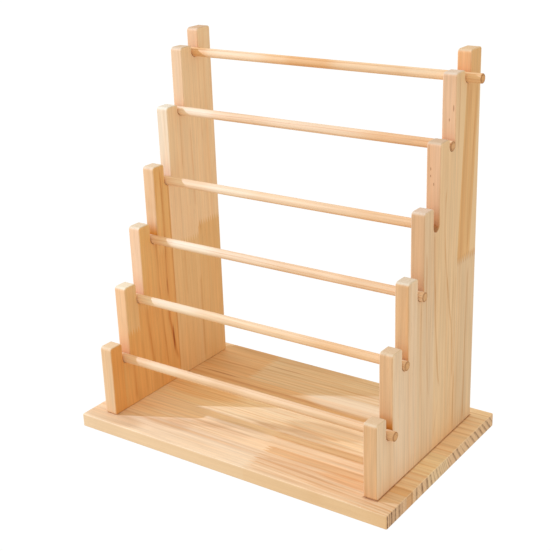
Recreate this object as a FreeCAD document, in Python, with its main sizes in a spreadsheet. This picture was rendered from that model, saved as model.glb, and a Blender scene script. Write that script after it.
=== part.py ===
import FreeCAD, Part
import math
import os
import Sketcher

# Stepped dowel rack: two stepped uprights stand on a flat base board and carry six loose rods in
# open slots. Screws hold the uprights from below.
# Frame: millimetres, +Z up, origin at the centre of the base board's underside. The front, where
# the lowest rod sits, faces -Y, and the rods run along X. Left is -X.

doc = FreeCAD.newDocument("dowel_rack")

# ---------------------------------------------------------------------------------------------
# Sizes
# ---------------------------------------------------------------------------------------------

# alias, value, meaning
SIZES = [
    ("base_wide", 396.0, "base board, along the rods"),
    ("base_deep", 241.0, "base board, front to back"),
    ("base_thick", 15.4, "base board, thickness"),
    ("base_corner", 1.5, "base board, radius of the four upright corners"),
    ("base_ease", 1.1, "base board, radius of the eased top and bottom edges"),
    ("upright_thick", 15.6, "upright, thickness"),
    ("upright_inside", 323.6, "clear width between the two uprights"),
    ("foot_front", -103.1, "Y of the uprights' front face"),
    ("foot_deep", 207.6, "upright, depth at the foot"),
    ("step_run", 30.8, "front face of one finger to the front face of the next"),
    ("step_rise", 61.7, "top of one finger to the top of the next"),
    ("first_tip", 82.2, "top of the lowest finger above the base board"),
    ("post_rise", 17.5, "top of the rear post above the last finger"),
    ("slot_wide", 12.0, "slot, width, with a half-round bottom"),
    ("slot_deep", 25.7, "depth of the four lower slots"),
    ("slot_shallow", 13.2, "depth of the two upper slots"),
    ("slot_over", 3.0, "height of the slot cut above the finger's top"),
    ("tip_front", 4.0, "radius of each finger's front top corner, and the post's"),
    ("tip_rear", 3.0, "radius of each finger's rear top corner"),
    ("plain_corner", 2.5, "radius of the foot's corners and the post's rear top corner"),
    ("outline_round", 1.5, "radius rounding the whole outline of both side faces"),
    ("rod_round", 5.0, "rod, radius"),
    ("rod_long", 360.0, "rod, length"),
    ("rod_ease", 0.8, "radius of the eased rod ends"),
    ("rod_gap", 0.05, "clearance kept under a resting rod"),
    ("rod_shift_1", 4.0, "X of the middle of rod_1"),
    ("rod_shift_2", -0.4, "X of the middle of rod_2"),
    ("rod_shift_3", 1.8, "X of the middle of rod_3"),
    ("rod_shift_4", -14.0, "X of the middle of rod_4"),
    ("rod_shift_5", -2.1, "X of the middle of rod_5"),
    ("rod_shift_6", 12.9, "X of the middle of rod_6"),
    ("screw_first", 23.25, "first screw behind the upright's front face"),
    ("screw_pitch", 80.0, "screw to screw"),
    ("screw_sunk", 0.45, "height of the screw head's face above the board's underside"),
    ("head_round", 4.0, "screw head, radius"),
    ("shank_round", 2.0, "screw shank and thread, radius"),
    ("screw_long", 37.0, "screw, length"),
    ("screw_point", 5.0, "length of the screw's pointed tip"),
    ("point_round", 0.3, "radius of the tip's blunt end"),
    ("drive_long", 4.4, "cross recess, across the arms"),
    ("drive_wide", 0.9, "cross recess, width of an arm"),
    ("drive_deep", 1.5, "cross recess, depth"),
    ("through_round", 2.2, "radius of the screw holes through the base board"),
    ("sink_size", 2.3, "depth of the countersink, also its extra radius"),
    ("pilot_round", 2.05, "radius of the screw holes in the uprights"),
    ("pilot_deep", 25.0, "depth of the screw holes in the uprights"),
]

# Depth of each slot, from the lowest at the front to the highest at the rear.
SLOTS = ["slot_deep"] * 4 + ["slot_shallow"] * 2
STEPS = range(1, len(SLOTS) + 1)
SCREWS_IN_ROW = 3

# Name and X of each upright; its row of screws has the same X.
UPRIGHT_MIDDLE = "(sizes.upright_inside + sizes.upright_thick) / 2"
UPRIGHTS = [("left_upright", "-" + UPRIGHT_MIDDLE), ("right_upright", UPRIGHT_MIDDLE)]

TINY = 1e-6  # tolerance when picking edges and faces
BOARD_FACE_AREA = 1000  # the base board's top and bottom are larger than this
SIDE_FACE_AREA = 10000  # an upright's side faces are larger than this

# Sketcher's numbers for the points of a line or arc, the sketch's origin and its vertical axis.
START, END, CENTRE = 1, 2, 3
ORIGIN = (-1, START)
VERTICAL_AXIS = -2

sheet = doc.addObject("Spreadsheet::Sheet", "sizes")
for row, (alias, value, meaning) in enumerate(SIZES, start=1):
    sheet.set("A%d" % row, alias)
    sheet.set("B%d" % row, str(value))
    sheet.setAlias("B%d" % row, alias)
    sheet.set("C%d" % row, meaning)
doc.recompute()


def size(alias):
    return float(sheet.get(alias))


# ---------------------------------------------------------------------------------------------
# Bodies and sketches
# ---------------------------------------------------------------------------------------------


def origin_item(body, role):
    """The body's own base plane or axis, such as XY_Plane or Y_Axis."""
    return next(item for item in body.Origin.OriginFeatures if item.Role == role)


def new_body(name, **position):
    """An empty body. Its x, y and z, where given, are expressions on the sheet."""
    body = doc.addObject("PartDesign::Body", name)
    body.Label = name
    for axis, text in position.items():
        body.setExpression(".Placement.Base." + axis, text)
    return body


def new_sketch(body, name, plane):
    sketch = body.newObject("Sketcher::SketchObject", name)
    sketch.AttachmentSupport = [(origin_item(body, plane), "")]
    sketch.MapMode = "FlatFace"
    return sketch


def constrain(sketch, kind, *references):
    return sketch.addConstraint(Sketcher.Constraint(kind, *references))


def tie(sketch, kind, references, value, text):
    """Add a dimension and tie it to the sheet."""
    number = constrain(sketch, kind, *references, value)
    sketch.setExpression("Constraints[%d]" % number, text)


def tie_to_origin(sketch, kind, point, value, text):
    """Tie a point's signed distance from the sketch's origin. The dimension itself is positive."""
    if value < 0:
        tie(sketch, kind, point + ORIGIN, -value, "-(%s)" % text)
    else:
        tie(sketch, kind, ORIGIN + point, value, text)


def add_line(sketch, start, end):
    line = Part.LineSegment(FreeCAD.Vector(*start, 0), FreeCAD.Vector(*end, 0))
    return sketch.addGeometry(line, False)


def circle_at(x, y, radius):
    return Part.Circle(FreeCAD.Vector(x, y, 0), FreeCAD.Vector(0, 0, 1), radius)


def add_loop(sketch, points):
    """A closed loop of lines through the points. Returns the lines' numbers."""
    ends = points[1:] + points[:1]
    lines = [add_line(sketch, start, end) for start, end in zip(points, ends)]
    for line, following in zip(lines, lines[1:] + lines[:1]):
        constrain(sketch, "Coincident", line, END, following, START)
    return lines


def add_square_loop(sketch, points):
    """A closed loop whose lines are all horizontal or vertical."""
    lines = add_loop(sketch, points)
    for line, start, end in zip(lines, points, points[1:] + points[:1]):
        kind = "Vertical" if abs(start[0] - end[0]) < TINY else "Horizontal"
        constrain(sketch, kind, line)
    return lines


def add_centred_box(sketch, wide_alias, deep_alias):
    """A rectangle centred on the sketch's origin."""
    wide, deep = size(wide_alias), size(deep_alias)
    x, y = wide / 2, deep / 2
    bottom, right, top, _ = add_square_loop(sketch, [(-x, -y), (x, -y), (x, y), (-x, y)])
    constrain(sketch, "Symmetric", bottom, START, top, START, *ORIGIN)
    tie(sketch, "DistanceX", (bottom, START, bottom, END), wide, "sizes." + wide_alias)
    tie(sketch, "DistanceY", (right, START, right, END), deep, "sizes." + deep_alias)


def add_screw_circles(sketch, x, x_text, front, front_text, radius_alias):
    """A row of circles at one upright's screws. Front is the Y of the upright's front face."""
    for k in range(SCREWS_IN_ROW):
        y = front + size("screw_first") + k * size("screw_pitch")
        y_text = "%s + sizes.screw_first + %d * sizes.screw_pitch" % (front_text, k)
        radius = size(radius_alias)
        circle = sketch.addGeometry(circle_at(x, y, radius), False)
        tie(sketch, "Radius", (circle,), radius, "sizes." + radius_alias)
        if x == 0:
            constrain(sketch, "PointOnObject", circle, CENTRE, VERTICAL_AXIS)
        else:
            tie_to_origin(sketch, "DistanceX", (circle, CENTRE), x, x_text)
        tie_to_origin(sketch, "DistanceY", (circle, CENTRE), y, y_text)


# ---------------------------------------------------------------------------------------------
# Features
# ---------------------------------------------------------------------------------------------


def add_feature(body, kind, name, sketch, length_text=None, **settings):
    """A pad or pocket of the sketch, with its length tied to the sheet where one is given."""
    feature = body.newObject(kind, name)
    feature.Profile = sketch
    for key, setting in settings.items():
        setattr(feature, key, setting)
    if length_text:
        feature.setExpression("Length", length_text)
    doc.recompute()
    return feature


def must_shrink(before, after):
    if not after.Shape.Volume < before.Shape.Volume - TINY:
        raise RuntimeError("%s removed nothing" % after.Name)


def add_pad(body, name, sketch, length_text, **settings):
    return add_feature(body, "PartDesign::Pad", name, sketch, length_text, **settings)


def add_pocket(body, name, sketch, before, depth_text=None, **settings):
    """A pocket that must take something off the feature before it."""
    cut = add_feature(body, "PartDesign::Pocket", name, sketch, depth_text, **settings)
    must_shrink(before, cut)
    return cut


def edges_where(feature, wanted):
    """Names of the feature's edges for which wanted(edge) holds."""
    edges = enumerate(feature.Shape.Edges, start=1)
    return ["Edge%d" % number for number, edge in edges if wanted(edge)]


def faces_where(feature, wanted):
    """Names of the feature's faces for which wanted(face) holds."""
    faces = enumerate(feature.Shape.Faces, start=1)
    return ["Face%d" % number for number, face in faces if wanted(face)]


def is_circle(edge):
    return isinstance(edge.Curve, Part.Circle)


def dress(body, name, before, picked, alias, kind="PartDesign::Fillet", size_name="Radius"):
    """A fillet, or a chamfer, on the picked edges or the edges of the picked faces."""
    if not picked:
        raise RuntimeError("nothing to dress for " + name)
    feature = body.newObject(kind, name)
    feature.Base = (before, picked)
    feature.setExpression(size_name, "sizes." + alias)
    doc.recompute()
    return feature


# ---------------------------------------------------------------------------------------------
# Base board
# ---------------------------------------------------------------------------------------------


def make_base():
    body = new_body("base_board")
    sketch = new_sketch(body, "base_outline", "XY_Plane")
    add_centred_box(sketch, "base_wide", "base_deep")
    plank = add_pad(body, "base_plank", sketch, "sizes.base_thick")

    thick = size("base_thick")
    upright_edges = edges_where(plank, lambda edge: abs(edge.BoundBox.ZLength - thick) < TINY)
    corners = dress(body, "base_corners", plank, upright_edges, "base_corner")
    flat_faces = faces_where(
        corners, lambda face: face.BoundBox.ZLength < TINY and face.Area > BOARD_FACE_AREA
    )
    eased = dress(body, "base_eased_edges", corners, flat_faces, "base_ease")

    # screw holes through the board, countersunk from below
    sketch = new_sketch(body, "base_screw_places", "XY_Plane")
    middle = (size("upright_inside") + size("upright_thick")) / 2
    front = size("foot_front")
    for x, (_, x_text) in zip((-middle, middle), UPRIGHTS):
        add_screw_circles(sketch, x, x_text, front, "sizes.foot_front", "through_round")
    holes = add_pocket(
        body, "base_screw_holes", sketch, eased, Type="ThroughAll", Reversed=True
    )

    def is_lower_rim(edge):
        return (
            is_circle(edge)
            and abs(edge.Curve.Radius - size("through_round")) < TINY
            and abs(edge.BoundBox.ZMin) < TINY
            and edge.BoundBox.ZLength < TINY
        )

    rims = edges_where(holes, is_lower_rim)
    sinks = dress(
        body, "base_countersinks", holes, rims, "sink_size", "PartDesign::Chamfer", "Size"
    )
    must_shrink(holes, sinks)
    body.Tip = sinks
    return body


# ---------------------------------------------------------------------------------------------
# Uprights
# ---------------------------------------------------------------------------------------------


def tip_height(k):
    """Top of finger k above the foot."""
    return size("first_tip") + (k - 1) * size("step_rise")


def tip_height_text(k):
    return "sizes.first_tip + %d * sizes.step_rise" % (k - 1)


def post_height():
    """Top of the rear post above the foot."""
    return tip_height(len(SLOTS)) + size("post_rise")


def add_stepped_board(body, name):
    """The stepped outline without its slots, padded about the upright's mid-thickness."""
    run, deep, top = size("step_run"), size("foot_deep"), post_height()
    points = [(0.0, 0.0)]
    for k in STEPS:
        points += [((k - 1) * run, tip_height(k)), (k * run, tip_height(k))]
    points += [(len(SLOTS) * run, top), (deep, top), (deep, 0.0)]

    sketch = new_sketch(body, name + "_steps", "YZ_Plane")
    lines = add_square_loop(sketch, points)
    front = lines[0]
    constrain(sketch, "Coincident", front, START, *ORIGIN)
    tie(
        sketch, "DistanceY", (front, START, front, END), size("first_tip"), "sizes.first_tip"
    )
    for k in STEPS:
        tread, riser = lines[2 * k - 1], lines[2 * k]
        rise = "step_rise" if k < len(SLOTS) else "post_rise"
        tie(sketch, "DistanceX", (tread, START, tread, END), run, "sizes.step_run")
        tie(sketch, "DistanceY", (riser, START, riser, END), size(rise), "sizes." + rise)
    post_top = lines[2 * len(SLOTS) + 1]
    tie_to_origin(sketch, "DistanceX", (post_top, END), deep, "sizes.foot_deep")
    return add_pad(body, name + "_board", sketch, "sizes.upright_thick", Midplane=True)


def cut_slot(body, name, before, k, depth):
    """Slot k, open at the top, its rear wall in line with the front face one step further back."""
    radius = size("slot_wide") / 2
    y = k * size("step_run") - radius
    z = tip_height(k) - size(depth) + radius
    open_z = tip_height(k) + size("slot_over")
    front_y, rear_y = y - radius, y + radius

    sketch = new_sketch(body, "%s_slot_%d" % (name, k), "YZ_Plane")
    half_round = Part.ArcOfCircle(circle_at(y, z, radius), math.pi, 2 * math.pi)
    bottom = sketch.addGeometry(half_round, False)
    front = add_line(sketch, (front_y, open_z), (front_y, z))
    rear = add_line(sketch, (rear_y, z), (rear_y, open_z))
    lid = add_line(sketch, (rear_y, open_z), (front_y, open_z))
    constrain(sketch, "Vertical", front)
    constrain(sketch, "Vertical", rear)
    constrain(sketch, "Horizontal", lid)
    constrain(sketch, "Coincident", rear, END, lid, START)
    constrain(sketch, "Coincident", lid, END, front, START)
    constrain(sketch, "Tangent", front, END, bottom, START)
    constrain(sketch, "Tangent", bottom, END, rear, START)

    tip_text = tip_height_text(k)
    y_text = "%d * sizes.step_run - sizes.slot_wide / 2" % k
    z_text = "%s - sizes.%s + sizes.slot_wide / 2" % (tip_text, depth)
    tie(sketch, "Radius", (bottom,), radius, "sizes.slot_wide / 2")
    tie_to_origin(sketch, "DistanceX", (bottom, CENTRE), y, y_text)
    tie_to_origin(sketch, "DistanceY", (bottom, CENTRE), z, z_text)
    tie_to_origin(
        sketch, "DistanceY", (lid, START), open_z, tip_text + " + sizes.slot_over"
    )
    return add_pocket(
        body, "%s_cut_%d" % (name, k), sketch, before, Type="ThroughAll", Midplane=True
    )


def round_corners(body, name, before, places, alias):
    """Round the edges that cross the upright's thickness at the given (y, z) places."""

    def is_corner(edge):
        box = edge.BoundBox
        return abs(box.XLength - size("upright_thick")) < TINY and any(
            max(abs(box.YMin - y), abs(box.YMax - y), abs(box.ZMin - z), abs(box.ZMax - z)) < TINY
            for y, z in places
        )

    edges = edges_where(before, is_corner)
    if len(edges) != len(places):
        raise RuntimeError("%s found %d corners" % (name, len(edges)))
    return dress(body, name, before, edges, alias)


def make_upright(name, x_text):
    """One stepped board. Its own origin is at the front of the foot, underneath, mid-thickness."""
    body = new_body(name, x=x_text, y="sizes.foot_front", z="sizes.base_thick")
    last = add_stepped_board(body, name)
    for k, depth in enumerate(SLOTS, start=1):
        last = cut_slot(body, name, last, k, depth)

    run, deep, top = size("step_run"), size("foot_deep"), post_height()
    fronts = [((k - 1) * run, tip_height(k)) for k in STEPS] + [(len(SLOTS) * run, top)]
    rears = [(k * run - size("slot_wide"), tip_height(k)) for k in STEPS]
    plain = [(0.0, 0.0), (deep, 0.0), (deep, top)]
    last = round_corners(body, name + "_tip_fronts", last, fronts, "tip_front")
    last = round_corners(body, name + "_tip_rears", last, rears, "tip_rear")
    last = round_corners(body, name + "_plain_corners", last, plain, "plain_corner")

    side_faces = faces_where(
        last, lambda face: face.BoundBox.XLength < TINY and face.Area > SIDE_FACE_AREA
    )
    last = dress(body, name + "_rounded_outline", last, side_faces, "outline_round")

    # screw holes up into the foot
    sketch = new_sketch(body, name + "_screw_places", "XY_Plane")
    add_screw_circles(sketch, 0.0, "0", 0.0, "0", "pilot_round")
    body.Tip = add_pocket(
        body, name + "_screw_holes", sketch, last, "sizes.pilot_deep", Reversed=True
    )
    return body


# ---------------------------------------------------------------------------------------------
# Rods
# ---------------------------------------------------------------------------------------------


def make_rod(k, depth):
    """One loose rod lying in slot k of both uprights. Its own origin is its middle."""
    name = "rod_%d" % k
    body = new_body(
        name,
        x="sizes.rod_shift_%d" % k,
        y="sizes.foot_front + %d * sizes.step_run - sizes.slot_wide / 2" % k,
        z="sizes.base_thick + %s - sizes.%s + sizes.rod_round + sizes.rod_gap"
        % (tip_height_text(k), depth),
    )
    sketch = new_sketch(body, name + "_section", "YZ_Plane")
    radius = size("rod_round")
    circle = sketch.addGeometry(circle_at(0, 0, radius), False)
    constrain(sketch, "Coincident", circle, CENTRE, *ORIGIN)
    tie(sketch, "Radius", (circle,), radius, "sizes.rod_round")
    bar = add_pad(body, name + "_bar", sketch, "sizes.rod_long", Midplane=True)
    end_edges = edges_where(bar, is_circle)
    body.Tip = dress(body, name + "_eased_ends", bar, end_edges, "rod_ease")
    return body


# ---------------------------------------------------------------------------------------------
# Screws
# ---------------------------------------------------------------------------------------------


def draw_half_screw(sketch):
    """Half the screw's section, from the head's face at the origin up to the blunt point."""
    head, shank, tip = size("head_round"), size("shank_round"), size("point_round")
    length = size("screw_long")
    neck = head - shank  # the head tapers at 45 degrees
    shank_end = length - size("screw_point")
    points = [(0, 0), (head, 0), (shank, neck), (shank, shank_end), (tip, length), (0, length)]
    face, _, side, _, blunt, axis = add_loop(sketch, points)
    constrain(sketch, "Coincident", face, START, *ORIGIN)
    constrain(sketch, "Horizontal", face)
    constrain(sketch, "Vertical", side)
    constrain(sketch, "Horizontal", blunt)
    constrain(sketch, "Vertical", axis)
    for kind, point, value, text in (
        ("DistanceX", (face, END), head, "sizes.head_round"),
        ("DistanceX", (side, START), shank, "sizes.shank_round"),
        ("DistanceY", (side, START), neck, "sizes.head_round - sizes.shank_round"),
        ("DistanceY", (side, END), shank_end, "sizes.screw_long - sizes.screw_point"),
        ("DistanceY", (blunt, START), length, "sizes.screw_long"),
        ("DistanceX", (blunt, START), tip, "sizes.point_round"),
    ):
        tie_to_origin(sketch, kind, point, value, text)


def make_screws(name, x_text):
    """A row of countersunk wood screws. Its own origin is the middle of the first head's face."""
    body = new_body(
        name, x=x_text, y="sizes.foot_front + sizes.screw_first", z="sizes.screw_sunk"
    )
    sketch = new_sketch(body, name + "_section", "XZ_Plane")
    draw_half_screw(sketch)
    turned = body.newObject("PartDesign::Revolution", name + "_turned")
    turned.Profile = sketch
    turned.ReferenceAxis = (sketch, ["V_Axis"])
    turned.Angle = 360.0
    doc.recompute()

    # cross recess in the head, one arm along X and one along Y
    features = [turned]
    for letter, x_size, y_size in (
        ("a", "drive_long", "drive_wide"),
        ("b", "drive_wide", "drive_long"),
    ):
        sketch = new_sketch(body, "%s_drive_%s" % (name, letter), "XY_Plane")
        add_centred_box(sketch, x_size, y_size)
        recess = "%s_recess_%s" % (name, letter)
        features.append(
            add_pocket(body, recess, sketch, features[-1], "sizes.drive_deep", Reversed=True)
        )

    row = body.newObject("PartDesign::LinearPattern", name + "_row")
    row.Originals = features
    row.Direction = (origin_item(body, "Y_Axis"), [""])
    row.setExpression("Length", "%d * sizes.screw_pitch" % (SCREWS_IN_ROW - 1))
    row.Occurrences = SCREWS_IN_ROW
    body.Tip = row
    doc.recompute()
    return body


# ---------------------------------------------------------------------------------------------
# Build, check and write
# ---------------------------------------------------------------------------------------------

nodes = [make_base()]
nodes += [make_upright(name, x_text) for name, x_text in UPRIGHTS]
nodes += [make_rod(k, depth) for k, depth in enumerate(SLOTS, start=1)]
nodes += [make_screws(name + "_screws", x_text) for name, x_text in UPRIGHTS]
doc.recompute()

for item in doc.Objects:
    for word in ("Invalid", "Error"):
        if word in item.State:
            raise RuntimeError("%s is %s" % (item.Name, item.State))
for node in nodes:
    shape = node.Shape
    if shape.isNull() or not shape.isValid() or not shape.Solids:
        raise RuntimeError(node.Label + " has no sound shape")

os.makedirs("parts", exist_ok=True)
for node in nodes:
    node.Shape.exportStep(os.path.join("parts", node.Label + ".step"))
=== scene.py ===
"""A pine rack: a base board, two stepped uprights and six rods that climb towards the rear.

X runs along the rods from left to right, Y from front to rear and Z up, with the floor just
below z = 0. Scene units are metres. The wood materials work in millimetres.
"""

from collections import namedtuple

import bpy
from mathutils import Matrix

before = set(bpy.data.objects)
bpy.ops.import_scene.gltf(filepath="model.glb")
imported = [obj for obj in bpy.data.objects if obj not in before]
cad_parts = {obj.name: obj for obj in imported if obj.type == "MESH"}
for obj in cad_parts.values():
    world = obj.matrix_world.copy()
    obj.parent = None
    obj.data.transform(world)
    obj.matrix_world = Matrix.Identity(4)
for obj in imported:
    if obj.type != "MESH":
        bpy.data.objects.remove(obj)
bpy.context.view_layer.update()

SCENE = bpy.context.scene

# Driving dimensions, in mm
UPRIGHT_X = 169.6  # middle of an upright's thickness, either side of x = 0
BASE_HALF = 198.0  # half the length of the base board
FRONT_ROD_Y = -78.3  # the lowest, frontmost rod
ROD_PITCH = 30.8  # from rod to rod, and from finger to finger, in Y
STEP_RISE = 61.7  # from slot to slot in Z


# ------------------------------------------------------------------------------------------
# A short way of writing shader nodes
# ------------------------------------------------------------------------------------------


def srgb(*display):
    """0-255 display colour to linear."""
    scaled = [c / 255.0 for c in display]
    return tuple(c / 12.92 if c <= 0.04045 else ((c + 0.055) / 1.055) ** 2.4 for c in scaled)


class Value:
    """A node's output. Arithmetic on it adds math nodes. Tones are 0-255 display colours."""

    def __init__(self, graph, socket):
        self.graph, self.socket = graph, socket

    def __add__(self, other):
        return self.graph.math("ADD", self, other)

    def __radd__(self, other):
        return self.graph.math("ADD", other, self)

    def __sub__(self, other):
        return self.graph.math("SUBTRACT", self, other)

    def __rsub__(self, other):
        return self.graph.math("SUBTRACT", other, self)

    def __mul__(self, other):
        return self.graph.math("MULTIPLY", self, other)

    def __truediv__(self, other):
        return self.graph.math("DIVIDE", self, other)

    def __abs__(self):
        return self.graph.math("ABSOLUTE", self)

    def max(self, other):
        return self.graph.math("MAXIMUM", self, other)

    def over(self, start, full):
        """0 at start, 1 at full, smooth between. Start may be the larger."""
        node = self.graph.node("MapRange", interpolation_type="SMOOTHSTEP")
        return self._map(node, {"From Min": start, "From Max": full})

    def line(self, lo, hi, to_lo, to_hi):
        """Straight from to_lo at lo to to_hi at hi, and level beyond."""
        ends = {"From Min": lo, "From Max": hi, "To Min": to_lo, "To Max": to_hi}
        return self._map(self.graph.node("MapRange"), ends)

    def _map(self, node, ends):
        self.graph.put(node.inputs["Value"], self)
        for key, end in ends.items():
            self.graph.put(node.inputs[key], end)
        return self.graph.output(node, "Result")

    def toward(self, other, amount):
        """This colour moved towards a tone or another colour."""
        if isinstance(other, tuple):
            other = srgb(*other)
        return self.graph.mix(amount, self, other)

    def tinted(self, tone):
        return self.graph.mix(1.0, self, srgb(*tone), "MULTIPLY")

    def stain(self, tone, amount):
        """This colour moved towards itself multiplied by the tone."""
        return self.toward(self.tinted(tone), amount)


class Graph:
    """A node tree with a function for each kind of node."""

    def __init__(self, tree):
        self.tree = tree

    def node(self, kind, **settings):
        node = self.tree.nodes.new("ShaderNode" + kind)
        for key, setting in settings.items():
            setattr(node, key, setting)
        return node

    def output(self, node, key=0):
        return Value(self, node.outputs[key])

    def put(self, socket, value):
        """Links a Value, or sets a number or a linear RGB colour."""
        if isinstance(value, Value):
            self.tree.links.new(value.socket, socket)
        elif isinstance(value, tuple):
            socket.default_value = value + (1.0,)
        else:
            socket.default_value = value

    def math(self, operation, *values):
        node = self.node("Math", operation=operation)
        for socket, value in zip(node.inputs, values):
            self.put(socket, value)
        return self.output(node)

    def xyz(self, *values):
        node = self.node("CombineXYZ")
        for socket, value in zip(node.inputs, values):
            self.put(socket, value)
        return self.output(node)

    def parts(self, vector):
        node = self.node("SeparateXYZ")
        self.put(node.inputs[0], vector)
        return [self.output(node, i) for i in range(3)]

    def scale(self, vector, factor):
        node = self.node("VectorMath", operation="SCALE")
        self.put(node.inputs[0], vector)
        self.put(node.inputs["Scale"], factor)
        return self.output(node)

    def noise(self, vector, scale=1.0, detail=2.0, rough=0.5, colour=False):
        node = self.node("TexNoise")
        self.put(node.inputs["Vector"], vector)
        node.inputs["Scale"].default_value = scale
        node.inputs["Detail"].default_value = detail
        node.inputs["Roughness"].default_value = rough
        return self.output(node, "Color" if colour else "Fac")

    def grain_noise(self, grain, along, cross, shift=None, **settings):
        """Noise at grain (along, across, deep), with its frequency along and across per mm."""
        first = grain[0] * along
        if shift is not None:
            first = first + shift
        return self.noise(self.xyz(first, grain[1] * cross, grain[2] * cross), **settings)

    def white(self, vector):
        node = self.node("TexWhiteNoise")
        self.put(node.inputs["Vector"], vector)
        return self.output(node, "Value")

    def mix(self, amount, first, second, mode="MIX"):
        node = self.node("Mix", data_type="RGBA", blend_type=mode, clamp_factor=True)
        for i, value in ((0, amount), (6, first), (7, second)):
            self.put(node.inputs[i], value)
        return self.output(node, 2)

    def mix_numbers(self, amount, first, second):
        node = self.node("Mix", data_type="FLOAT")
        for i, value in ((0, amount), (2, first), (3, second)):
            self.put(node.inputs[i], value)
        return self.output(node)

    def ramp(self, value, interpolation, stops):
        """A colour ramp over 0 to 1 through stops of (position, linear RGB)."""
        node = self.node("ValToRGB")
        ramp = node.color_ramp
        ramp.interpolation = interpolation
        while len(ramp.elements) < len(stops):
            ramp.elements.new(0.5)
        for element, (position, colour) in zip(ramp.elements, stops):
            element.position = position
            element.color = tuple(colour) + (1.0,)
        self.put(node.inputs[0], value)
        return self.output(node)

    def steps(self, value, starts, colours):
        """A piecewise constant colour of value, which runs 0 to 1."""
        return self.ramp(value, "CONSTANT", list(zip(starts, colours)))

    def comb(self, value, lines):
        """A row of dark lines along value, in mm, each (place, width, strength)."""
        total = None
        lines = sorted(lines)
        # ten lines to a ramp
        for i in range(0, len(lines), 10):
            part = lines[i : i + 10]
            lo, hi = part[0][0] - part[0][1] - 1.0, part[-1][0] + part[-1][1] + 1.0
            stops = [(lo, 0.0)]
            for place, width, strength in part:
                start = max(place - width, stops[-1][0] + 0.05)
                peak = max(place, start + 0.3)
                stops += [(start, 0.0), (peak, strength), (peak + 0.3 * width + 0.3, 0.0)]
            stops = [(min(1.0, (place - lo) / (hi - lo)), (grey,) * 3) for place, grey in stops]
            row = self.ramp(value.line(lo, hi, 0.0, 1.0), "LINEAR", stops)
            total = row if total is None else total + row
        return total

    def streak(self, along, across, points, width, strength):
        """One grain line through points of (along, across), softer on its low side."""
        fade = 14.0  # mm, at each end of the line
        start, stop = points[0][0], points[-1][0]
        lo = min(point[1] for point in points) - 1.0
        hi = max(point[1] for point in points) + 1.0
        node = self.node("FloatCurve")
        curve = node.mapping.curves[0]
        places = [((x - start) / (stop - start), (y - lo) / (hi - lo)) for x, y in points]
        curve.points[0].location, curve.points[1].location = places[0], places[-1]
        for place in places[1:-1]:
            curve.points.new(*place)
        for point in curve.points:
            point.handle_type = "AUTO"
        node.mapping.update()
        self.put(node.inputs["Value"], along.line(start, stop, 0.0, 1.0))
        off = across - self.output(node).line(0.0, 1.0, lo, hi)
        shape = off.over(-width, 0.0) * off.over(0.55 * width, 0.0)
        ends = along.over(start, start + fade) * along.over(stop, stop - fade)
        return shape * ends * strength

    def bump(self, height, distance, strength, normal=None):
        node = self.node("Bump")
        node.inputs["Strength"].default_value = strength
        node.inputs["Distance"].default_value = distance
        self.put(node.inputs["Height"], height)
        if normal is not None:
            self.put(node.inputs["Normal"], normal)
        return self.output(node)

    def emission(self, colour, strength):
        node = self.node("Emission")
        self.put(node.inputs["Color"], colour)
        node.inputs["Strength"].default_value = strength
        return self.output(node)

    def show(self, shader):
        self.put(self.node("OutputMaterial").inputs["Surface"], shader)

    def surface(self, **values):
        node = self.node("BsdfPrincipled")
        for key, value in values.items():
            self.put(node.inputs[key.replace("_", " ")], value)
        self.show(self.output(node))


def new_material(name):
    material = bpy.data.materials.new(name)
    material.use_nodes = True
    material.node_tree.nodes.clear()
    return material, Graph(material.node_tree)


def dress(node, material):
    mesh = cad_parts[node].data
    mesh.materials.clear()
    mesh.materials.append(material)


# ------------------------------------------------------------------------------------------
# Pine: growth rings as a solid texture, cut into glued staves with finger joints
# ------------------------------------------------------------------------------------------

# a stave runs from start to the next one's start, and its joints cut it into pieces (mm)
Stave = namedtuple("Stave", "start joints pieces")
# pith_across is from the middle of the stave, pith_deep from the middle of the board's
# thickness and spacing is between rings (mm). contrast is how dark the rings are.
Piece = namedtuple("Piece", "tint pith_across pith_deep spacing contrast")

# how a piece's numbers are squeezed into a colour, as (low, high) in mm
PITH_DEEP = (-120.0, 120.0)
SPACING = (1.0, 16.0)
PITH_MARGIN = 200.0  # how far the pith may lie beyond the board's width

TOOTH_PITCH, TOOTH_LENGTH = 4.3, 9.0  # zigzag of the finger joints, mm
JOINT_BLUR = 0.0012  # share of the squeezed length
RING_POWER = 1.0


def squeeze(value, limits):
    return (value - limits[0]) / (limits[1] - limits[0])


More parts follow.
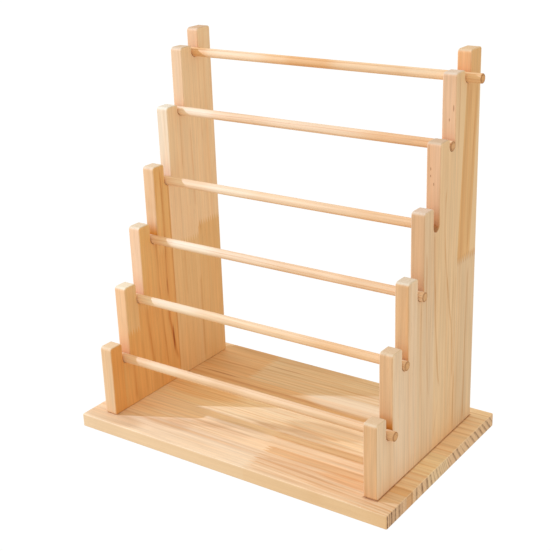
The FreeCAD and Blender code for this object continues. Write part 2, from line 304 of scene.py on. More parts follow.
def lay_staves(graph, along, across, along_range, across_range, staves):
    """Finds the piece at each point. Returns a lookup over pieces and the joint masks."""
    across01 = across.line(*across_range, 0.0, 1.0)
    saw = graph.math("FRACT", (across + 500.0) / TOOTH_PITCH)
    tooth = abs(saw - 0.5) * (2.0 * TOOTH_LENGTH)
    toothed = along + (tooth - TOOTH_LENGTH / 2)
    starts = [0.0] + [max(0.0, squeeze(stave.start, across_range)) for stave in staves[1:]]

    far = along_range[1] + 100.0
    limits = (along_range[0] - 50.0, far)

    def joint(stave, i):
        return squeeze(stave.joints[i] if i < len(stave.joints) else far, limits)

    cuts = graph.steps(across01, starts, [(joint(s, 0), joint(s, 1), 0.0) for s in staves])
    first_cut, second_cut, _ = graph.parts(cuts)
    along01 = toothed.line(*limits, 0.0, 1.0)
    past_first, past_second = (
        along01.over(cut - JOINT_BLUR, cut + JOINT_BLUR) for cut in (first_cut, second_cut)
    )

    stops = [stave.start for stave in staves[1:]] + [across_range[1]]
    middles = [(stave.start + stop) / 2 for stave, stop in zip(staves, stops)]

    def lookup(pick):
        """A colour for each piece, where pick(piece, middle of its stave) gives it."""
        rows = []
        for i in range(3):
            pieces = [stave.pieces[min(i, len(stave.pieces) - 1)] for stave in staves]
            rows.append(graph.steps(across01, starts, list(map(pick, pieces, middles))))
        return graph.mix(past_second, graph.mix(past_first, rows[0], rows[1]), rows[2])

    glue_distance = abs(along01 - first_cut)
    return across01, lookup, past_first, past_second, glue_distance


def growth_rings(graph, warped, across_range, deep_middle, lookup, seed):
    """Darkness of the late wood in rings round each piece's pith."""
    span = (across_range[0] - PITH_MARGIN, across_range[1] + PITH_MARGIN)
    squeezed = graph.parts(
        lookup(
            lambda piece, middle: (
                squeeze(middle + piece.pith_across, span),
                squeeze(piece.pith_deep, PITH_DEEP),
                squeeze(piece.spacing, SPACING),
            )
        )
    )
    contrast = graph.parts(lookup(lambda piece, middle: (piece.contrast, 0.0, 0.0)))[0]
    pith_across = squeezed[0].line(0, 1, *span)
    pith_deep = squeezed[1].line(0, 1, *PITH_DEEP) + deep_middle
    spacing = squeezed[2].line(0, 1, *SPACING)
    off_across = warped[1] - pith_across
    off_deep = warped[2] - pith_deep
    radius = graph.math("SQRT", off_across * off_across + off_deep * off_deep)

    # rings of uneven width
    even = radius / spacing
    uneven = graph.noise(
        graph.xyz(even * 0.45, graph.math("ADD", seed, 3.7), warped[0] * 0.0008), rough=0.6
    )
    phase = even + (uneven - 0.5) * 2.2
    ring = graph.math("FLOOR", phase)
    within = graph.math("FRACT", phase)
    chance = graph.white(graph.xyz(ring, pith_across * 0.01, seed))
    # each ring darkens slowly, ends sharply and has its own start and strength
    rise = within.over(chance.line(0, 1, 0.30, 0.62), 0.93)
    late = rise * rise * (1.0 - within.over(0.95, 1.0)) * chance.line(0, 1, 0.35, 1.0)
    return late * contrast * RING_POWER


def pine(
    name,
    axes,
    across_range,
    along_range,
    deep_middle,
    staves,
    seed,
    extra,
    end_tint,
    end_rings,
    wave,
    streaks=(),
    knots=(),
    ring_lines=None,
    faces=None,
    fibre=1.0,
    streaky=0.05,
    glue=0.0,
):
    """Makes a board's material, in mm.

    axes: where along the grain, across the width and through the thickness lie, as "ZYX"
    streaks: (points, width, strength); knots: (along, across, length, width, strength)
    ring_lines: gives a comb of drawn rings for each of the three lengths between joints
    faces: tones of the front and of the top faces of the fingers, lowest first, partly painted
    light
    extra: adds the board's own marks to the colour, and on the base and uprights painted shade
    and painted light
    end_tint, end_rings: tone of the end grain and how strongly rings show in it
    wave, fibre, streaky, glue: how strong the wander, fibres, streaks and glue lines are
    """
    material, graph = new_material(name)
    texture = graph.node("TexCoord")
    millimetres = graph.scale(graph.output(texture, "Object"), 1000.0)
    place = dict(zip("XYZ", graph.parts(millimetres)))
    normal = dict(zip("XYZ", graph.parts(graph.output(texture, "Normal"))))
    facing = {axis: abs(normal[axis]) for axis in "XYZ"}  # the normal without its sign
    grain = [place[axis] for axis in axes]
    along, across, deep = grain
    end = facing[axes[0]].over(0.70, 0.93)

    # the board's own slow wander of the grain
    slow = graph.grain_noise(grain, 0.0045, 0.012, shift=seed, colour=True)
    sway_across, sway_deep, resin = graph.parts(slow)
    warped = (
        along,
        across + (sway_across - 0.5) * (15.0 * wave),
        deep + (sway_deep - 0.5) * (9.0 * wave),
    )
    wobble = graph.noise(graph.xyz(along * 0.022, across * 0.05 + seed, deep * 0.05))
    drawn = across + (wobble - 0.5) * 2.2  # where the drawn lines and knots take their width

    across01, lookup, past_first, past_second, glue_distance = lay_staves(
        graph, along, across, along_range, across_range, staves
    )
    tint = lookup(lambda piece, middle: srgb(*piece.tint))
    if faces:
        # the exposed front and top faces of the fingers, paler than the sides: partly their own
        # colour and partly painted light where the lamp falls on them
        rows = [squeeze(FRONT_ROD_Y + ROD_PITCH * i, across_range) for i in range(6)]
        fronts, tops = (
            graph.steps(across01, [0.0] + rows, [srgb(*tone) for tone in face]) for face in faces
        )
        tint = tint.toward(fronts, normal["Y"].over(-0.45, -0.85))
        tint = tint.toward(tops, normal["Z"].over(0.35, 0.8))
    dark = growth_rings(graph, warped, across_range, deep_middle, lookup, seed)

    # fibres, soft mottling and short dark resin marks
    fine = graph.grain_noise(warped, 0.012, 0.75, detail=3.0, rough=0.6)
    finer = graph.grain_noise(warped, 0.03, 2.3, shift=9.1)
    bands = graph.grain_noise(warped, 0.0022, 0.16, shift=seed + 2.0, rough=0.55)
    blotch = graph.grain_noise(grain, 0.006, 0.028, shift=seed + 5.0)
    marks = graph.grain_noise(warped, 0.11, 1.9, shift=seed, detail=1.0)
    marks = marks.over(0.67, 0.78) * resin.over(0.45, 0.62)

    # drawn rings and streaks over the solid rings, all of uneven strength
    if ring_lines:
        left, middle, right = ring_lines(graph, along, drawn, deep)
        row = graph.mix_numbers(
            past_second, graph.mix_numbers(past_first, left, middle), right
        )
        dark = dark.max(row * end.line(0, 1, 0.62, 1.0))
    for points, width, strength in streaks:
        dark = dark.max(graph.streak(along, drawn, points, width, strength))
    wander = graph.grain_noise(warped, 0.018, 0.22, shift=seed + 8.0)
    dark = dark * wander.line(0.34, 0.62, 0.5, 1.15) * fine.line(0.3, 0.7, 0.85, 1.12)

    colour = tint.stain((222, 182, 132), dark)
    colour = colour.stain((248, 236, 220), bands.over(0.48, 0.72) * 0.5)
    colour = colour.stain((253, 242, 228), blotch.over(0.38, 0.68) * 0.5)
    # brightness of the fibres and of broader streaks
    tone = fine.line(0.2, 0.8, 1.0 - 0.08 * fibre, 1.0 + 0.07 * fibre) + 0.0
    patchy = graph.grain_noise(warped, 0.011, 0.3, shift=seed + 4.0, rough=0.55)
    tone = tone * patchy.line(0.3, 0.7, 1.0 - streaky, 1.0 + 0.8 * streaky)
    tone = tone * finer.line(0.2, 0.8, 1.0 - 0.05 * fibre, 1.0 + 0.05 * fibre)
    colour = graph.scale(colour, tone)
    colour = colour.stain((212, 175, 135), marks * 0.4)

    if glue:
        # the glue lines of a finger joint
        colour = colour.stain((205, 160, 112), glue_distance.over(0.0034, 0.001) * glue)

    # knots and pitch streaks
    for knot_along, knot_across, length, width, strength in knots:
        u = (along - knot_along) / (length / 2)
        v = (drawn - knot_across) / (width / 2)
        colour = colour.stain((176, 112, 66), (u * u + v * v).over(1.0, 0.1) * strength)

    # end grain
    cross = graph.grain_noise(grain, 0.5, 1.3, detail=3.0, rough=0.65)
    end_colour = tint.tinted(end_tint)
    end_colour = end_colour.stain((226, 200, 172), cross.line(0.35, 0.7, 0.0, 0.4))
    end_colour = end_colour.stain((120, 88, 64), graph.math("POWER", dark, 0.8) * end_rings)
    colour = colour.toward(end_colour, end)

    # painted highlight along the eased edges, broken up along them
    edge_highlight = facing["X"].max(facing["Y"]).max(facing["Z"]).over(0.985, 0.86)
    highlight_patches = graph.noise(graph.xyz(*(place[axis] * 0.09 for axis in "XYZ")))
    highlight_patches = highlight_patches.line(0.35, 0.65, 0.3, 1.0)
    if len(staves) > 1:
        colour = colour.toward(colour.toward((255, 240, 218), 0.5), edge_highlight * highlight_patches * 0.3)

    colour = extra(graph, colour, place, facing, normal)

    # rings are glossier, end grain duller
    rough = fine.line(0.25, 0.75, 0.64, 0.52) - dark * 0.06 + end * 0.18

    height = fine * 0.6 + dark * 0.5 - marks * 0.6 + cross * end * 1.2
    relief = graph.bump(height, distance=0.00012, strength=0.5)
    relief = graph.bump(finer, distance=0.00005, strength=0.45, normal=relief)
    graph.surface(Base_Color=colour, Roughness=rough, Normal=relief, Specular_IOR_Level=0.28)
    return material


# ------------------------------------------------------------------------------------------
# Base board
# ------------------------------------------------------------------------------------------

# ring lines across the board: (y, width, strength)
LEFT_LINES = [
    (-107, 4, 0.15), (-100, 4, 0.12), (-88, 6, 0.60), (-82, 3, 0.42), (-78, 2, 0.38),
    (-73, 2, 0.38), (-67, 2, 0.38), (-63, 2.5, 0.45), (-55, 3, 0.20), (-47, 3, 0.15),
    (-36, 2, 0.44), (-31, 3, 0.87), (-25, 2, 0.49), (-20, 3, 0.82), (-15, 2, 0.49),
    (-11, 2.5, 0.74), (-7, 2, 0.49), (-2, 3, 0.74), (4, 4, 0.59), (12, 3, 0.40),
    (20, 3, 0.47), (28, 3, 0.47), (37, 6, 1.00), (46, 2.5, 0.53), (60, 3, 0.94),
    (75, 3.5, 1.00), (87, 3, 0.53), (92.5, 2, 0.35), (98, 3, 0.53), (108, 3, 0.47),
    (115, 3, 0.47), (52, 2, 0.5), (67.5, 2, 0.5), (81, 2, 0.45), (104, 2, 0.4),
]
MIDDLE_LINES = [
    (-47, 3, 0.54), (-20, 3, 0.68), (12, 3, 0.54), (36, 4, 0.81), (47, 3, 0.82),
    (53, 2, 0.41), (58, 2, 0.56), (64, 2.5, 0.73), (71, 2.5, 0.65), (77, 2.5, 0.65),
    (83, 3.5, 0.97), (93, 4, 0.60), (101, 2, 0.56), (110, 3, 0.65), (88, 2, 0.45),
    (97, 2, 0.4), (105.5, 2, 0.4), (116, 2, 0.4),
]
RIGHT_LINES = [
    (-119, 3, 0.9), (-114.5, 2, 0.8), (-110.5, 3.5, 1.0), (-106.5, 1.5, 0.6),
    (-103, 4.5, 1.0), (-94.5, 4, 0.75), (-90, 2, 0.4), (-82.5, 1.5, 0.25), (-70, 1.5, 0.6),
    (-60, 3.5, 0.7), (-48.5, 4, 0.9), (-38.5, 4, 0.7), (-30.5, 4, 0.75), (-24, 2, 0.4),
    (-17.5, 3, 0.5), (-12, 2, 0.4), (-8.5, 1.5, 0.3), (-5, 1.5, 0.3), (-2, 1.5, 0.35),
    (1, 1.5, 0.3), (6, 2, 0.45), (10.5, 2, 0.35), (20, 3, 0.8), (29.5, 3.5, 0.7),
    (38, 2, 0.3), (47.5, 3.5, 0.6), (62, 4, 0.7), (73, 4, 0.8), (83, 4, 0.75),
    (92, 4, 0.7), (101, 4, 0.7), (110, 3, 0.5),
]


def base_lines(graph, along, across, deep):
    # on the right the front lines drift forwards along the board, and the rear ones lean
    # through its thickness
    drift = (BASE_HALF - along) * 0.05 * across.over(-80.0, -88.0)
    lean = across.line(-70.0, 60.0, 0.0, 0.9) * (15.0 - deep)
    return (
        graph.comb(across, LEFT_LINES),
        graph.comb(across, MIDDLE_LINES),
        graph.comb(across - drift - lean, RIGHT_LINES),
    )


# the deeper tone serves deeper wood and painted shade alike
DEEP_AND_SHADE = (236, 226, 215)
WARM = (253, 237, 217)
# deeper, paler and warmer areas: (x, y, half length, half width, slope, tone, strength); some
# are the wood's own tone, others painted shade and painted light round the cast shadows of the
# lowest fingers
BASE_TONE_LIGHT_AND_SHADE = [
    # painted shade near the foot of the left upright
    (-165.0, -108.0, 52.0, 16.0, 0.0, DEEP_AND_SHADE, 1.0),
    # painted shadow of the lowest finger
    (-72.0, -68.0, 48.0, 9.0, 0.26, DEEP_AND_SHADE, 0.6),
    (-24.0, -51.5, 46.0, 6.5, 0.0, (237, 233, 230), 1.0),
    (-36.0, -65.0, 42.0, 7.0, 0.0, (244, 239, 236), 1.0),
    # painted shade on the lit side of the lowest finger's shadow edge
    (-88.0, -80.0, 22.0, 7.0, 0.0, (249, 243, 239), 0.9),
    # painted shadow of the fingers, slanted
    (12.0, -30.0, 32.0, 8.0, 0.2, DEEP_AND_SHADE, 0.6),
    # this row and the next: a painted shadow band of the fingers
    (36.0, -31.0, 84.0, 9.0, 0.0, (239, 234, 230), 0.95),
    (46.0, -28.0, 28.0, 7.0, 0.0, (243, 238, 236), 0.9),
    (40.0, 1.0, 92.0, 9.0, 0.0, (248, 242, 238), 0.9),
    (80.0, -97.0, 90.0, 12.0, 0.0, (249, 245, 241), 0.8),
    (-70.0, 116.0, 106.0, 11.0, 0.0, (242, 234, 225), 1.0),
    (62.0, 116.0, 70.0, 9.0, 0.0, (249, 246, 243), 0.9),
    (44.0, 97.0, 30.0, 8.0, 0.0, (259, 264, 270), 0.9),
    # painted shade on the lit side of the lowest finger's shadow edge
    (-100.0, -88.0, 34.0, 10.0, 0.0, (247, 242, 236), 0.9),
    # painted light on the shaded side of the same edge
    (-108.0, -66.0, 36.0, 9.0, 0.0, (259, 264, 274), 0.9),
    (62.0, -11.0, 56.0, 15.0, 0.06, DEEP_AND_SHADE, 1.3),
    (-120.0, -2.0, 70.0, 22.0, 0.0, WARM, 1.1),
    (140.0, -86.0, 48.0, 9.0, 0.0, WARM, 1.0),
]
FOOT_Y = 0.7  # middle of an upright's foot
FOOT_HALF_X, FOOT_HALF_Y = 7.8, 103.8


def base_extra(graph, colour, place, facing, normal):
    # deeper, paler and warmer areas, among them painted shade and painted light
    for x, y, half_x, half_y, slope, tone, strength in BASE_TONE_LIGHT_AND_SHADE:
        off_x = place["X"] - x
        u = off_x / half_x
        v = (place["Y"] - y - off_x * slope) / half_y
        colour = colour.stain(tone, (u * u + v * v).over(1.1, 0.25) * strength)
    # a paler patch behind the middle, where the lamp falls between the cast shadows: paler wood
    # and painted light
    u = (place["X"] - 66.0) / 84.0
    v = (place["Y"] - 50.0) / 19.0
    colour = colour.toward((255, 240, 214), (u * u + v * v).over(1.0, 0.45) * 0.3)
    # painted contact shade: dark lines round the feet of the uprights, stronger to the right
    off_x = abs(abs(place["X"]) - UPRIGHT_X) - FOOT_HALF_X
    off_y = abs(place["Y"] - FOOT_Y) - FOOT_HALF_Y
    line = abs(off_x.max(off_y)).over(1.5, 0.1) * normal["Z"].over(0.5, 0.9)
    line = line * place["X"].line(-160.0, 160.0, 0.0, 0.6)
    colour = colour.stain((184, 134, 90), line)
    # the front edge is a little deeper in colour, more so to the right
    front = normal["Y"].over(-0.5, -0.9)
    rightness = place["X"].line(-120.0, 120.0, 0.0, 1.0)
    plain = graph.mix(rightness, srgb(244, 204, 160), srgb(234, 191, 142))
    return colour.toward(plain, front * 0.7)


def one_joint(start, joint, left, right):
    """A base stave whose two joints coincide, so that only two pieces show."""
    return Stave(start, (joint, joint), (left, left, right))


BASE_SAND = (243, 207, 164)
BASE_CREAM = (245, 211, 169)
BASE_PALE = (248, 218, 174)
BASE_AMBER = (230, 184, 131)

BASE_STAVES = [
    one_joint(
        -120.5, 28.0,
        Piece((240, 209, 172), 10, -95, 3.5, 0.12), Piece((237, 200, 159), -60, -70, 3.0, 0.15),
    ),
    one_joint(
        -81.0, 28.0,
        Piece(BASE_CREAM, 30, -80, 3.0, 0.15), Piece((229, 182, 131), -20, -100, 4.0, 0.1),
    ),
    one_joint(
        -68.0, 20.0,
        Piece(BASE_CREAM, -30, 80, 3.0, 0.15), Piece(BASE_SAND, -70, -60, 3.5, 0.15),
    ),
    one_joint(
        -36.0, 18.0,
        Piece(BASE_PALE, 70, -60, 2.6, 0.2), Piece(BASE_PALE, 95, 30, 2.5, 0.2),
    ),
    one_joint(
        8.0, 110.0,
        Piece(BASE_AMBER, 20, -70, 3.0, 0.2), Piece(BASE_SAND, 60, -60, 3.5, 0.2),
    ),
    Stave(
        50.0, (-88.0, 110.0),
        (
            Piece(BASE_AMBER, -70, 60, 3.0, 0.2),
            Piece((231, 198, 156), -80, -40, 3.0, 0.2),
            Piece(BASE_SAND, -80, -40, 3.5, 0.2),
        ),
    ),
]
# (points of (x, y), width, strength)
BASE_STREAKS = (
    ([(-15.0, -19.0), (10.0, -19.5), (45.0, -20.5), (90.0, -22.0)], 4.0, 0.55),
    ([(-60.0, 34.0), (-10.0, 35.0), (40.0, 35.0), (110.0, 35.5)], 4.0, 0.25),
    ([(30.0, -105.5), (60.0, -103.0), (90.0, -104.5), (115.0, -107.0), (150.0, -108.6),
      (184.0, -110.0)], 5.0, 0.42),
    ([(30.0, -94.8), (60.0, -95.0), (90.0, -96.0), (115.0, -98.6), (150.0, -100.6),
      (184.0, -102.2)], 5.0, 0.48),
    ([(30.0, -90.5), (60.0, -88.6), (90.0, -88.0), (115.0, -89.6), (150.0, -92.0),
      (184.0, -93.6)], 5.0, 0.66),
    ([(30.0, -115.0), (60.0, -114.2), (90.0, -115.5), (115.0, -118.6), (130.0, -120.4)],
     4.6, 0.40),
    ([(50.0, -80.6), (90.0, -79.0), (115.0, -79.0), (150.0, -80.0)], 4.6, 0.30),
    ([(-25.0, -33.0), (0.0, -34.0), (20.0, -36.0)], 4.0, 0.5),
)

base_pine = pine(
    "pine_base",
    axes="XYZ",
    across_range=(-120.5, 120.5),
    along_range=(-BASE_HALF, BASE_HALF),
    deep_middle=7.7,
    staves=BASE_STAVES,
    seed=1.3,
    ring_lines=base_lines,
    knots=((-126.0, 45.5, 76.0, 3.6, 0.5), (-60.0, 92.0, 60.0, 4.0, 0.3)),
    streaks=BASE_STREAKS,
    extra=base_extra,
    end_tint=(252, 248, 254),
    end_rings=0.95,
    streaky=0.09,
    wave=0.5,
)

# ------------------------------------------------------------------------------------------
# Uprights
# ------------------------------------------------------------------------------------------

FIRST_STEP_Y = -102.6  # where the steps are counted from
SLOT_TOP = 97.6  # z of the top of the lowest slot


def upright_extra(slot_shade, foot_shade, dots=(), gold=False):
    """The first argument gives how strongly painted shade darkens the walls of each slot, lowest
    first.
    dots are small marks of finger joints on the front faces: (x, y, z, width, height)."""

    def extra(graph, colour, place, facing, normal):
        x, y, z = (place[axis] for axis in "XYZ")
        # painted shade in the slots, darker towards the bottom
        back = y + -FIRST_STEP_Y
        step = graph.math("FLOOR", back / ROD_PITCH)
        within = back - step * ROD_PITCH
        depth = SLOT_TOP + step * STEP_RISE - z
        slot_shade_mask = within.over(17.6, 18.4) * facing["X"].over(0.85, 0.3)
        slot_shade_mask = slot_shade_mask * (y.over(84.0, 82.5) * y.over(-101.0, -99.0))
        amount = 0.0
        for i, strength in enumerate(slot_shade):
            here = step.over(i - 0.6, i - 0.4) * step.over(i + 0.6, i + 0.4)
            amount = amount + here * strength
        colour = colour.stain((231, 192, 99), slot_shade_mask * depth.over(0.0, 18.0) * amount)
        # deeper painted shade on the slot floors
        colour = colour.stain((206, 156, 110), slot_shade_mask * depth.over(15.0, 26.0) * 0.5)
        if gold:
            # the amber streak of heartwood at the top of the rear stave leans backwards,
            # between paler wood in front of it and behind it
            rise = z - 213.0
            front_edge = y - (rise * 0.0687 + 60.6)
            rear_edge = y - (rise * 0.068 + 87.3)
            upper = rise.over(-4.0, 3.0) * facing["X"].over(0.6, 0.9)
            pale = front_edge.over(0.3, -0.6) * y.over(60.2, 61.0) * upper
            pale = pale.max(rear_edge.over(0.0, 3.5) * upper)
            colour = colour.toward(colour.toward((246, 211, 170), 0.75), pale)
        # painted shade in the joint at the foot
        colour = colour.stain((176, 122, 78), z.over(17.2, 15.5) * foot_shade)
        # the left upright's outer side is calmer
        calm = normal["X"].over(-0.5, -0.9) * x.over(-170.0, -176.0)
        colour = colour.toward(colour.toward((244, 204, 158), 0.6), calm * 0.55)
        for dot_x, face_y, dot_z, width, height in dots:
            u = (x - dot_x) / (width / 2)
            v = (z - dot_z) / (height / 2)
            near = abs(y - face_y).over(2.0, 1.0)
            colour = colour.stain((160, 110, 70), (u * u + v * v).over(1.0, 0.3) * near * 0.6)
        return colour

    return extra


def upright_pine(name, middle_x, **settings):
    return pine(
        name,
        axes="ZYX",
        across_range=(-103.5, 105.0),
        along_range=(15.0, 424.0),
        deep_middle=middle_x,
        end_tint=(255, 255, 255),
        end_rings=0.1,
        wave=0.6,
        **settings,
    )


# tones of the seven fingers' front and top faces, lowest first, partly painted light
LEFT_FRONTS = [
    (239, 198, 155), (245, 195, 148), (247, 201, 161), (236, 191, 146),
    (242, 212, 178), (234, 192, 150), (232, 184, 140),
]
LEFT_TOPS = [
    (230, 196, 155), (235, 215, 183), (226, 201, 168), (227, 199, 165),
    (231, 215, 191), (216, 186, 154), (212, 173, 137),
]
RIGHT_FRONTS = [
    (229, 181, 134), (228, 181, 136), (229, 181, 134), (224, 180, 139),
    (232, 184, 145), (234, 187, 147), (240, 182, 129),
]
RIGHT_TOPS = [
    (226, 194, 157), (225, 194, 159), (225, 205, 180), (227, 200, 177),
    (215, 185, 156), (227, 202, 180), (230, 194, 155),
]

LEFT_AMBER = (236, 180, 113)
LEFT_HONEY = (239, 188, 123)
LEFT_SAND = (238, 196, 143)
LEFT_CREAM = (246, 210, 170)

LEFT_STAVES = [
    Stave(-103.5, (), (Piece((234, 169, 98), 35, 60, 3.0, 0.2),)),
    Stave(
        -84.5, (104.0,),
        (Piece(LEFT_AMBER, -15, 75, 3.2, 0.2), Piece(LEFT_SAND, 10, 60, 3.0, 0.2)),
    ),
    Stave(
        -53.0, (124.0,),
        (Piece(LEFT_AMBER, -15, 75, 3.2, 0.2), Piece(LEFT_HONEY, 10, 60, 3.0, 0.2)),
    ),
    Stave(
        -13.0, (182.0,),
        (Piece(LEFT_AMBER, 8, 26, 3.0, 0.25), Piece(LEFT_HONEY, -10, 40, 3.0, 0.2)),
    ),
    Stave(
        13.5, (182.0,),
        (Piece(LEFT_SAND, 60, 90, 3.6, 0.15), Piece(LEFT_CREAM, -60, 80, 3.8, 0.12)),
    ),
    Stave(
        62.5, (196.0,),
        (Piece((236, 190, 133), 20, 70, 3.4, 0.15), Piece(LEFT_CREAM, 20, 90, 3.2, 0.15)),
    ),
]
# (points of (z, y), width, strength)
LEFT_STREAKS = (
    ([(18.0, 14.2), (60.0, 13.6), (150.0, 13.2), (262.0, 13.0)], 2.5, 0.68),
    ([(36.0, 12.0), (55.0, 8.0), (80.0, 3.6), (104.0, 0.6), (122.0, 1.0)], 4.6, 0.90),
    ([(118.0, 0.2), (150.0, 0.4), (200.0, 1.4), (286.0, -0.4)], 3.0, 0.63),
    ([(34.0, -6.0), (60.0, -9.0), (90.0, -11.2), (130.0, -12.8), (205.0, -15.0)], 3.7, 0.63),
    ([(40.0, -29.0), (60.0, -32.6), (85.0, -35.5), (130.0, -38.5)], 4.6, 0.63),
    ([(15.0, -46.0), (60.0, -48.0), (95.0, -50.0)], 4.6, 0.27),
    ([(15.0, -66.0), (45.0, -66.5), (86.0, -67.0)], 3.9, 0.54),
    ([(110.0, 36.5), (150.0, 36.0), (190.0, 36.0)], 4.0, 0.32),
    ([(262.0, 41.0), (300.0, 41.8), (335.0, 42.0)], 3.4, 0.32),
    ([(15.0, 63.0), (80.0, 62.6), (135.0, 63.0)], 4.0, 0.45),
    ([(215.0, 60.0), (260.0, 60.0), (320.0, 59.0)], 4.0, 0.41),
    ([(180.0, 68.0), (192.0, 67.5), (206.0, 67.0)], 3.4, 0.41),
    ([(225.0, -9.0), (250.0, -8.6), (290.0, -8.0)], 3.4, 0.36),
    ([(290.0, 80.0), (350.0, 80.0), (424.0, 80.5)], 2.3, 0.32),
)

left_pine = upright_pine(
    "pine_left",
    -UPRIGHT_X,
    staves=LEFT_STAVES,
    seed=4.1,
    streaks=LEFT_STREAKS,
    knots=((138.0, 0.2, 26.0, 3.6, 0.25), (70.0, 5.2, 46.0, 3.4, 0.7)),
    extra=upright_extra(slot_shade=(0.15, 0.1, 1.0, 0.0, 0.7, 0.65), foot_shade=0.1),
    faces=(LEFT_FRONTS, LEFT_TOPS),
)

RIGHT_STAVES = [
    Stave(-103.5, (), (Piece((245, 212, 180), 25, -60, 3.4, 0.12),)),
    Stave(-70.0, (), (Piece((245, 213, 183), -20, -75, 3.4, 0.12),)),
    Stave(-26.0, (), (Piece((239, 206, 173), 12, -30, 3.4, 0.15),)),
    Stave(12.0, (), (Piece((242, 205, 165), 10, -32, 3.6, 0.12),)),
    Stave(
        60.6, (210.0,),
        (Piece((236, 201, 164), 14, -40, 3.6, 0.12), Piece((236, 186, 130), 30, -90, 3.4, 0.15)),
    ),
]
# (points of (z, y), width, strength)
RIGHT_STREAKS = (
    ([(82.0, 26.5), (105.0, 22.0), (130.0, 18.8), (160.0, 15.7), (190.0, 13.7),
      (220.0, 11.6), (262.0, 10.4)], 3.6, 0.65),
    ([(78.0, 3.6), (105.0, -0.6), (130.0, -2.7), (160.0, -4.0), (200.0, -4.7),
      (245.0, -5.9)], 3.0, 0.52),
    ([(86.0, -14.8), (130.0, -15.6), (160.0, -16.0), (195.0, -16.2)], 3.0, 0.40),
    ([(15.0, -26.0), (80.0, -26.0), (135.0, -26.4)], 2.6, 0.25),
    ([(78.0, 55.8), (110.0, 54.6), (140.0, 51.5), (160.0, 47.0), (190.0, 41.0),
      (215.0, 36.0), (240.0, 33.0), (275.0, 32.4), (300.0, 36.0)], 3.4, 0.56),
    ([(15.0, 59.6), (55.0, 59.6), (92.0, 59.4)], 2.6, 0.60),
    ([(88.0, 59.4), (140.0, 59.0), (205.0, 58.6)], 2.4, 0.29),
    ([(26.0, 13.5), (45.0, 17.5), (72.0, 24.5)], 3.0, 0.29),
    ([(28.0, 44.0), (50.0, 46.5), (78.0, 48.5)], 3.0, 0.25),
    ([(205.0, 71.0), (260.0, 74.0), (330.0, 78.5), (395.0, 83.0)], 9.0, 0.29),
    ([(205.0, 64.0), (226.0, 65.4), (260.0, 68.4), (300.0, 71.0), (340.0, 73.8),
      (400.0, 77.4)], 3.0, 0.34),
    ([(212.0, 84.0), (260.0, 87.4), (300.0, 90.0), (340.0, 93.0), (380.0, 95.8),
      (410.0, 97.8)], 3.4, 0.39),
    ([(15.0, 84.0), (60.0, 84.4), (110.0, 85.2), (200.0, 88.0)], 4.5, 0.48),
    ([(325.0, 57.0), (360.0, 57.5), (408.0, 58.5)], 3.0, 0.40),
)
RIGHT_DOTS = (
    (166.5, 20.1, 318.0, 1.4, 4.0),
    (166.5, 20.1, 311.0, 1.4, 3.0),
    (170.0, 20.1, 303.0, 1.4, 4.0),
    (174.4, 50.9, 372.0, 1.6, 8.0),
    (170.0, 50.9, 360.0, 1.4, 4.0),
)

right_pine = upright_pine(
    "pine_right",
    UPRIGHT_X,
    staves=RIGHT_STAVES,
    seed=7.7,
    streaks=RIGHT_STREAKS,
    extra=upright_extra(
        slot_shade=(1.0, 0.3, 0.1, 0.45, 0.9, 1.0), foot_shade=0.35, dots=RIGHT_DOTS, gold=True
    ),
    faces=(RIGHT_FRONTS, RIGHT_TOPS),
    glue=0.5,
    streaky=0.08,
)

dress("base_board", base_pine)
dress("left_upright", left_pine)
dress("right_upright", right_pine)

# ------------------------------------------------------------------------------------------
# Rods
# ------------------------------------------------------------------------------------------

# seed, tint, ring spacing, contrast, height z, how far the rod has slid sideways, and
# patches of (x, half length, pale or not, strength), lowest rod first
RODS = [
    (11.0, (239, 199, 158), 4.2, 0.5, 76.95, 4.0,
     ((-105.0, 30.0, True, 0.35), (-20.0, 30.0, False, 0.4), (140.0, 60.0, False, 0.3))),
    (23.0, (243, 206, 166), 5.0, 0.35, 138.65, -0.4,
     ((-112.0, 48.0, True, 0.75), (125.0, 80.0, False, 0.7))),
    (37.0, (242, 206, 170), 3.6, 0.5, 200.35, 1.8,
     ((-148.0, 22.0, False, 1.0), (-108.0, 46.0, True, 0.85), (36.0, 50.0, False, 0.4),
      (125.0, 60.0, False, 0.5))),
    (41.0, (242, 204, 165), 4.6, 0.4, 262.05, -14.0,
     ((-72.0, 44.0, True, 0.6), (0.0, 70.0, True, 0.25), (130.0, 60.0, False, 0.6))),
    (53.0, (241, 202, 164), 4.0, 0.5, 336.25, -2.1,
     ((-138.0, 32.0, True, 0.75), (-70.0, 40.0, False, 0.3), (20.0, 80.0, True, 0.3),
      (125.0, 60.0, False, 0.8))),
    (67.0, (239, 194, 146), 5.5, 0.7, 397.95, 12.9,
     ((-152.0, 14.0, False, 0.8), (-102.0, 56.0, True, 0.7), (-6.0, 40.0, False, 1.2),
      (70.0, 60.0, True, 0.3), (135.0, 34.0, True, 0.5))),
]


def rod_extra(rod_y, rod_z, shift, patches):
    def extra(graph, colour, place, facing, normal):
        for x, half, pale, strength in patches:
            there = abs(place["X"] - x).over(half, 0.35 * half)
            if pale:
                patch = colour.toward((255, 246, 222), 0.35)
            else:
                patch = colour.tinted((247, 234, 216))
            colour = colour.toward(patch, there * strength)
        # the sawn ends are darker round the rim
        off_y, off_z = place["Y"] - rod_y, place["Z"] - rod_z
        radius = graph.math("SQRT", off_y * off_y + off_z * off_z)
        rim = radius.over(2.9, 4.7) * abs(place["X"] - shift).over(178.6, 179.8)
        return colour.stain((176, 140, 108), rim * 0.65)

    return extra


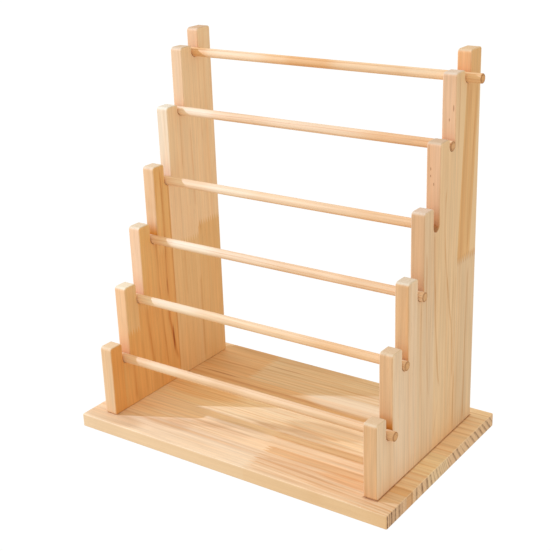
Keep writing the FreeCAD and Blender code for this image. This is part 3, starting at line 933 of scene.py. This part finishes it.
for i, (seed, tint, spacing, contrast, height, shift, patches) in enumerate(RODS):
    rod_pine = pine(
        f"dowel_{i + 1}",
        axes="XYZ",
        across_range=(-130.0, 130.0),
        along_range=(-200.0, 200.0),
        deep_middle=200.0,
        staves=[Stave(-130.0, (), (Piece(tint, 40, 30, spacing, contrast),))],
        seed=seed,
        fibre=1.2,
        end_tint=(246, 230, 210),
        end_rings=0.5,
        wave=0.5,
        extra=rod_extra(FRONT_ROD_Y + ROD_PITCH * i, height, shift, patches),
    )
    dress(f"rod_{i + 1}", rod_pine)

# ------------------------------------------------------------------------------------------
# Zinc-plated screws
# ------------------------------------------------------------------------------------------


def zinc():
    material, graph = new_material("zinc")
    place = graph.output(graph.node("TexCoord"), "Object")
    grime = graph.noise(place, scale=900.0, detail=3.0, rough=0.6)
    scratch = graph.noise(place, scale=4200.0)
    graph.surface(
        Base_Color=graph.mix(grime.over(0.35, 0.7), srgb(214, 208, 190), srgb(176, 168, 142)),
        Metallic=1.0,
        Roughness=grime.line(0.3, 0.7, 0.28, 0.5),
        Normal=graph.bump(scratch, distance=0.00002, strength=0.6),
    )
    return material


screw_zinc = zinc()
dress("left_upright_screws", screw_zinc)
dress("right_upright_screws", screw_zinc)

# ------------------------------------------------------------------------------------------
# Floor, light and camera (metres)
# ------------------------------------------------------------------------------------------

FLOOR_HALF = 40.0
FLOOR_Z = -0.0004
FLOOR_GLOW = 0.86  # the light the floor throws up at the rack
FLOOR_SEEN = 1.02  # how bright the camera sees it
SKY_LEVEL = 0.91
SKY_TOWARDS = (-0.18, -0.07, 0.05)  # the sky brightens this way
KEY_POWER = 66.0


def pale_floor():
    """A floor that glows one way on the rack and looks plain white to the camera."""
    material, graph = new_material("pale_floor")
    place = graph.output(graph.node("TexCoord"), "Object")
    mottle = graph.noise(place, scale=6.0, detail=3.0)
    colour = graph.mix(mottle.over(0.3, 0.7), (0.90, 0.90, 0.90), (0.93, 0.93, 0.925))
    glow = graph.emission(graph.mix(1.0, colour, (1.0, 0.98, 0.87), "MULTIPLY"), FLOOR_GLOW)
    seen = graph.emission((1.0, 1.0, 1.0), FLOOR_SEEN)
    pick = graph.node("MixShader")
    graph.put(pick.inputs[0], graph.output(graph.node("LightPath"), "Is Camera Ray"))
    graph.put(pick.inputs[1], glow)
    graph.put(pick.inputs[2], seen)
    graph.show(graph.output(pick))
    return material


def add_floor():
    mesh = bpy.data.meshes.new("floor")
    corners = ((-1, -1), (1, -1), (1, 1), (-1, 1))
    mesh.from_pydata(
        [(x * FLOOR_HALF, y * FLOOR_HALF, FLOOR_Z) for x, y in corners], [], [(0, 1, 2, 3)]
    )
    floor = bpy.data.objects.new("floor", mesh)
    SCENE.collection.objects.link(floor)
    mesh.materials.append(pale_floor())


def add_sky():
    world = bpy.data.worlds.new("studio")
    SCENE.world = world
    world.use_nodes = True
    graph = Graph(world.node_tree)
    background = world.node_tree.nodes["Background"]
    slope = graph.node("VectorMath", operation="DOT_PRODUCT")
    graph.put(slope.inputs[0], graph.output(graph.node("TexCoord"), "Generated"))
    slope.inputs[1].default_value = SKY_TOWARDS
    graph.put(background.inputs["Color"], (1.0, 0.984, 0.851))
    graph.put(background.inputs["Strength"], graph.output(slope, "Value") + SKY_LEVEL)


def add_key_light():
    lamp = bpy.data.lights.new("key", "POINT")
    lamp.energy = KEY_POWER
    lamp.shadow_soft_size = 0.012
    lamp.color = (0.395, 0.592, 1.0)
    key = bpy.data.objects.new("key", lamp)
    key.location = (-1.06, -0.55, 0.92)
    SCENE.collection.objects.link(key)


def add_camera():
    lens = bpy.data.cameras.new("camera")
    camera = bpy.data.objects.new("camera", lens)
    SCENE.collection.objects.link(camera)
    # columns: the camera's right, up and backward directions, then its place
    camera.matrix_world = Matrix(
        (
            (0.821478, -0.17633, 0.542294, 0.647431),
            (0.569279, 0.308807, -0.761945, -0.924378),
            (-0.033111, 0.934637, 0.354059, 0.620075),
            (0, 0, 0, 1),
        )
    )
    lens.sensor_width = 36.0
    lens.lens = 73.6077
    lens.shift_x = 0.00522
    lens.shift_y = -0.01635
    lens.clip_start, lens.clip_end = 0.01, 100
    SCENE.camera = camera


add_floor()
add_sky()
add_key_light()
add_camera()

SCENE.view_settings.view_transform = "Standard"
SCENE.view_settings.look = "None"
SCENE.view_settings.exposure = 0.0
SCENE.view_settings.gamma = 1.0
